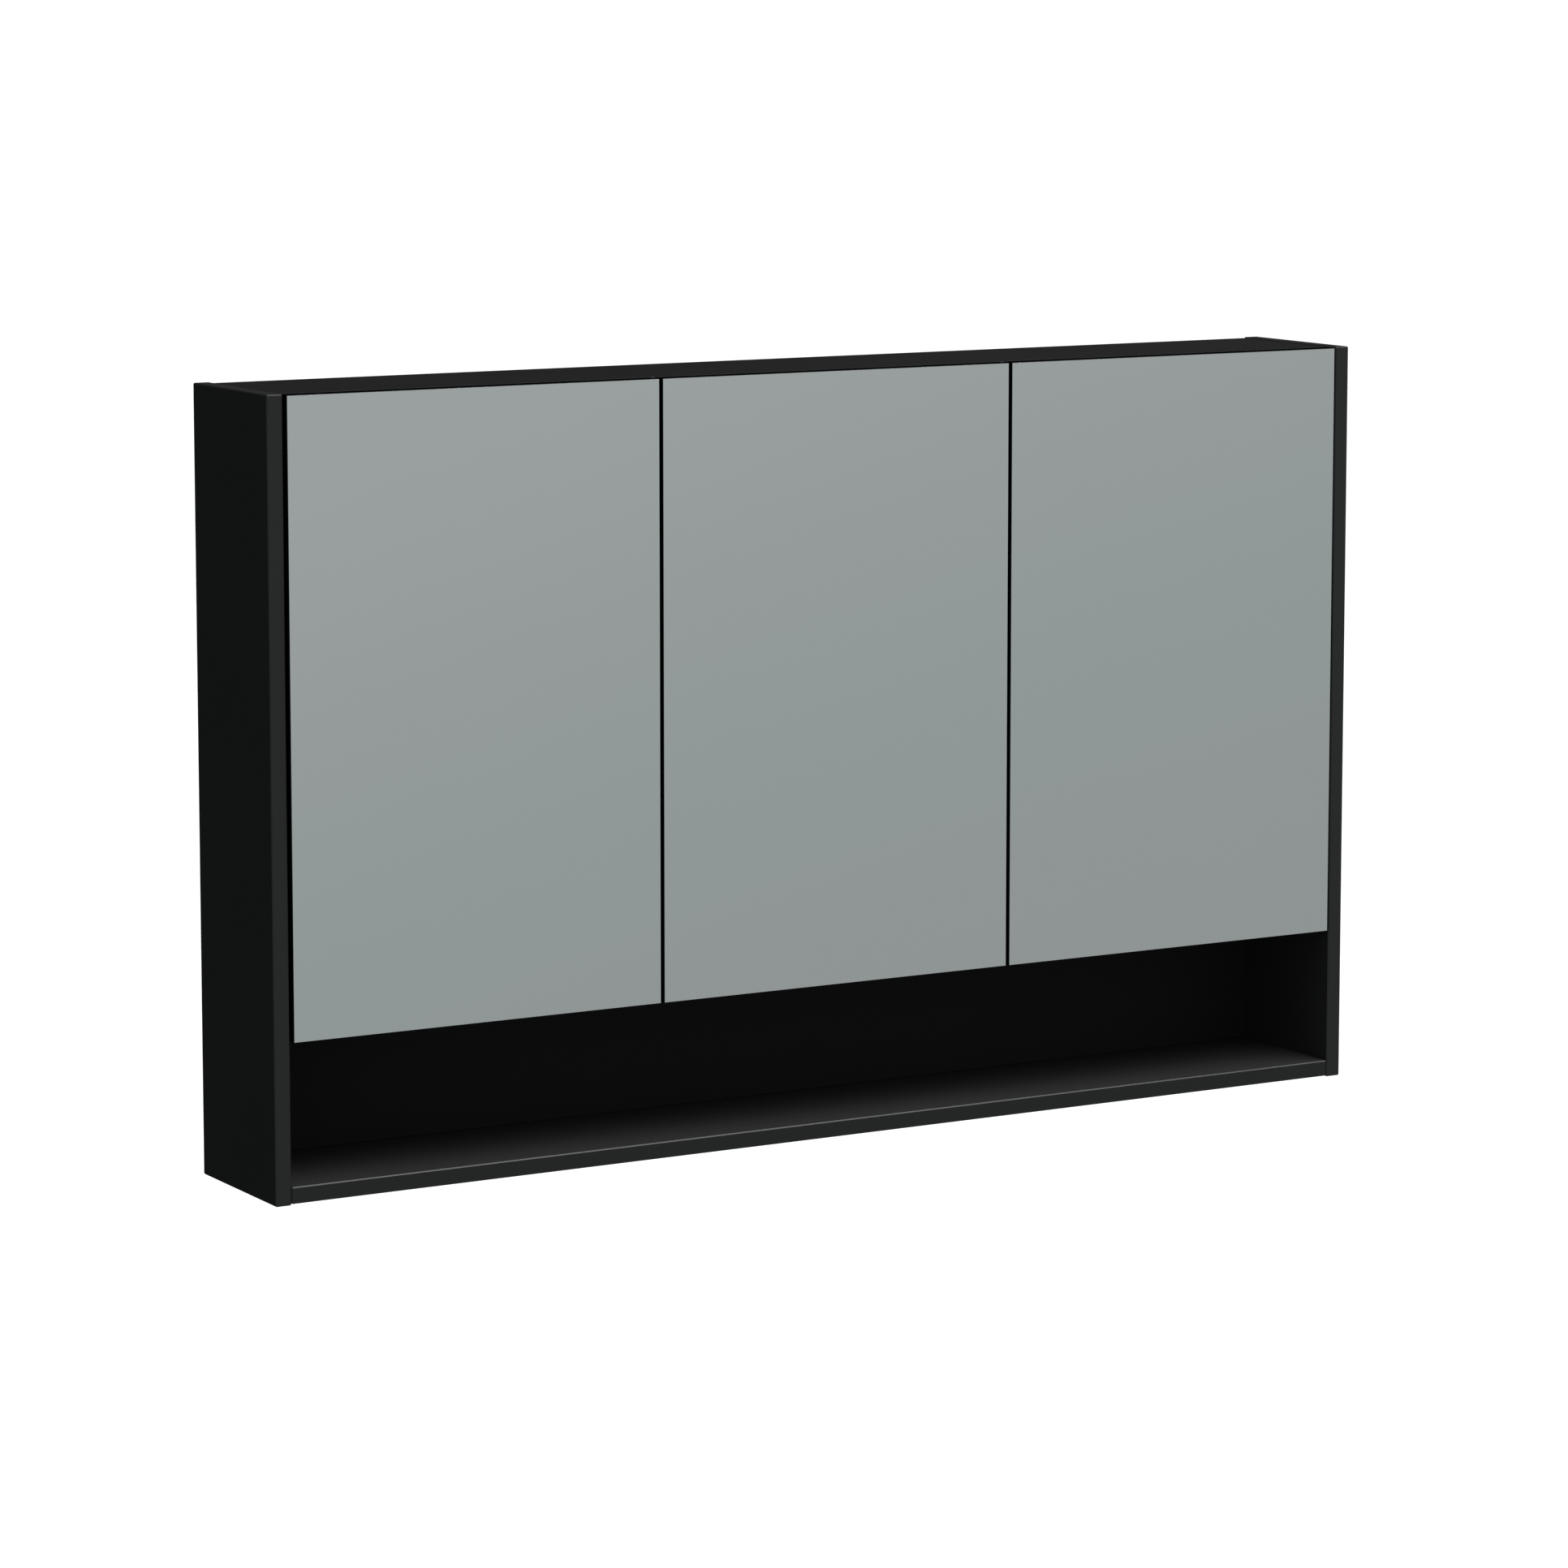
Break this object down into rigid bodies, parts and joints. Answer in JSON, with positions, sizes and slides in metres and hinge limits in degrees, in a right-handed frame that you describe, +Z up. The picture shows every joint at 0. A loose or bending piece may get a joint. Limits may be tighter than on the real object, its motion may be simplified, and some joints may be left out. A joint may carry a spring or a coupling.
{
  "type": "medicine cabinet with mirror",
  "caption": "Wall-hung bathroom cabinet: mirrored doors on concealed cup hinges over an open full-width niche, with glass shelves inside and keyhole hangers behind.",
  "frame": {"origin": "on the wall plane, at the centre of the top hanging rail's rear face", "axes": "+X to the right seen from the front, +Y into the wall, +Z up; the doors face -Y"},
  "size_m": [1.2, 0.1644, 0.75],
  "materials": {
    "black_board": "matte black melamine on chipboard",
    "back_sheet": "matte black faced hardboard",
    "mirror_glass": "silvered float glass, arrised edges",
    "shelf_glass": "clear toughened glass, polished edges",
    "nickel_steel": "nickel-plated pressed steel",
    "zinc_steel": "zinc-plated steel",
    "clear_bumper": "clear soft polyurethane"
  },
  "bodies": {
    "carcass": {"left_side_panel": "black_board", "right_side_panel": "black_board", "top_panel": "black_board", "bottom_panel": "black_board", "compartment_floor": "black_board", "left_divider": "black_board", "right_divider": "black_board", "top_hanging_rail": "black_board", "bottom_hanging_rail": "black_board", "back_sheet": "back_sheet", "left_hanger_plate": "zinc_steel", "right_hanger_plate": "zinc_steel", "left_lower_shelf": "shelf_glass", "left_lower_door_bumper": "clear_bumper", "left_lower_hinge_plate": "nickel_steel", "left_lower_hinge_arm": "nickel_steel", "left_upper_shelf": "shelf_glass", "left_upper_door_bumper": "clear_bumper", "left_upper_hinge_plate": "nickel_steel", "left_upper_hinge_arm": "nickel_steel", "centre_lower_shelf": "shelf_glass", "centre_lower_door_bumper": "clear_bumper", "centre_lower_hinge_plate": "nickel_steel", "centre_lower_hinge_arm": "nickel_steel", "centre_upper_shelf": "shelf_glass", "centre_upper_door_bumper": "clear_bumper", "centre_upper_hinge_plate": "nickel_steel", "centre_upper_hinge_arm": "nickel_steel", "right_lower_shelf": "shelf_glass", "right_lower_door_bumper": "clear_bumper", "right_lower_hinge_plate": "nickel_steel", "right_lower_hinge_arm": "nickel_steel", "right_upper_shelf": "shelf_glass", "right_upper_door_bumper": "clear_bumper", "right_upper_hinge_plate": "nickel_steel", "right_upper_hinge_arm": "nickel_steel"},
    "left_inner_links": {"left_lower_hinge_inner_link": "nickel_steel", "left_upper_hinge_inner_link": "nickel_steel"},
    "left_outer_links": {"left_lower_hinge_outer_link": "nickel_steel", "left_upper_hinge_outer_link": "nickel_steel"},
    "left_door": {"left_door_board": "black_board", "left_door_mirror": "mirror_glass", "left_lower_hinge_cup": "nickel_steel", "left_upper_hinge_cup": "nickel_steel"},
    "centre_inner_links": {"centre_lower_hinge_inner_link": "nickel_steel", "centre_upper_hinge_inner_link": "nickel_steel"},
    "centre_outer_links": {"centre_lower_hinge_outer_link": "nickel_steel", "centre_upper_hinge_outer_link": "nickel_steel"},
    "centre_door": {"centre_door_board": "black_board", "centre_door_mirror": "mirror_glass", "centre_lower_hinge_cup": "nickel_steel", "centre_upper_hinge_cup": "nickel_steel"},
    "right_inner_links": {"right_lower_hinge_inner_link": "nickel_steel", "right_upper_hinge_inner_link": "nickel_steel"},
    "right_outer_links": {"right_lower_hinge_outer_link": "nickel_steel", "right_upper_hinge_outer_link": "nickel_steel"},
    "right_door": {"right_door_board": "black_board", "right_door_mirror": "mirror_glass", "right_lower_hinge_cup": "nickel_steel", "right_upper_hinge_cup": "nickel_steel"}
  },
  "joints": [
    {"name": "left_inner_link_swing", "type": "hinge", "parent": "carcass", "child": "left_inner_links", "pos_m": [-0.555, -0.1354, -0.24195], "axis": [0, 0, -1], "range_deg": [-28.5, 0]},
    {"name": "left_door_swing", "type": "hinge", "parent": "left_inner_links", "child": "left_door", "pos_m": [-0.5725, -0.1519, -0.24195], "axis": [0, 0, -1], "range_deg": [0, 123.5]},
    {"name": "left_outer_link_swing", "type": "hinge", "parent": "carcass", "child": "left_outer_links", "pos_m": [-0.545, -0.1384, -0.24195], "axis": [0, 0, -1], "range_deg": [-28.5, 0]},
    {"name": "centre_inner_link_swing", "type": "hinge", "parent": "carcass", "child": "centre_inner_links", "pos_m": [-0.16647, -0.1354, -0.24195], "axis": [0, 0, -1], "range_deg": [-28.5, 0]},
    {"name": "centre_door_swing", "type": "hinge", "parent": "centre_inner_links", "child": "centre_door", "pos_m": [-0.18397, -0.1519, -0.24195], "axis": [0, 0, -1], "range_deg": [0, 123.5]},
    {"name": "centre_outer_link_swing", "type": "hinge", "parent": "carcass", "child": "centre_outer_links", "pos_m": [-0.15647, -0.1384, -0.24195], "axis": [0, 0, -1], "range_deg": [-28.5, 0]},
    {"name": "right_inner_link_swing", "type": "hinge", "parent": "carcass", "child": "right_inner_links", "pos_m": [0.555, -0.1354, -0.24195], "axis": [0, 0, 1], "range_deg": [-28.5, 0]},
    {"name": "right_door_swing", "type": "hinge", "parent": "right_inner_links", "child": "right_door", "pos_m": [0.5725, -0.1519, -0.24195], "axis": [0, 0, 1], "range_deg": [0, 123.5]},
    {"name": "right_outer_link_swing", "type": "hinge", "parent": "carcass", "child": "right_outer_links", "pos_m": [0.545, -0.1384, -0.24195], "axis": [0, 0, 1], "range_deg": [-28.5, 0]}
  ],
  "couplings": [
    {"joint": "left_inner_link_swing", "follows": "left_door_swing", "ratio": -0.23077},
    {"joint": "left_outer_link_swing", "follows": "left_door_swing", "ratio": -0.23077},
    {"joint": "centre_inner_link_swing", "follows": "centre_door_swing", "ratio": -0.23077},
    {"joint": "centre_outer_link_swing", "follows": "centre_door_swing", "ratio": -0.23077},
    {"joint": "right_inner_link_swing", "follows": "right_door_swing", "ratio": -0.23077},
    {"joint": "right_outer_link_swing", "follows": "right_door_swing", "ratio": -0.23077}
  ]
}
